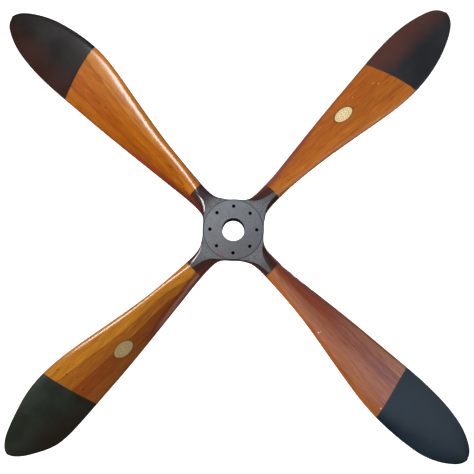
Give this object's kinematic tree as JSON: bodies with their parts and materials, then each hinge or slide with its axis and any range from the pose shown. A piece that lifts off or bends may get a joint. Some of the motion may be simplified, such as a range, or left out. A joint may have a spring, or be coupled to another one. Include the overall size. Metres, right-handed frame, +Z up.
{
  "type": "wooden aircraft propeller",
  "caption": "Full-size laminated wooden aircraft propeller with half-lapped hub, open shaft bore, ring of bolt holes, black hub and sheathed black tips.",
  "frame": {"origin": "hub centre, on the shaft axis, halfway between the two hub faces", "axes": "+Y along the shaft axis from the front face to the rear face, +Z up; the blades lie at 45 degrees to X and Z"},
  "size_m": [1.7987, 0.101, 1.7604],
  "materials": {
    "varnished_mahogany": "gloss varnish, with black paint over the hub",
    "doped_linen": "doped and painted satin black",
    "painted_facing": "satin black paint",
    "transfer_film": "varnished over"
  },
  "bodies": {
    "root": {"a_board_1": "varnished_mahogany", "a_board_2": "varnished_mahogany", "a_board_3": "varnished_mahogany", "a_board_4": "varnished_mahogany", "a_board_5": "varnished_mahogany", "b_board_1": "varnished_mahogany", "b_board_2": "varnished_mahogany", "b_board_3": "varnished_mahogany", "b_board_4": "varnished_mahogany", "b_board_5": "varnished_mahogany", "tip_sheath_a1": "doped_linen", "tip_sheath_a2": "doped_linen", "tip_sheath_b1": "doped_linen", "tip_sheath_b2": "doped_linen", "front_boss_facing": "painted_facing", "rear_boss_facing": "painted_facing", "transfer_b1": "transfer_film", "transfer_b2": "transfer_film"}
  },
  "joints": []
}
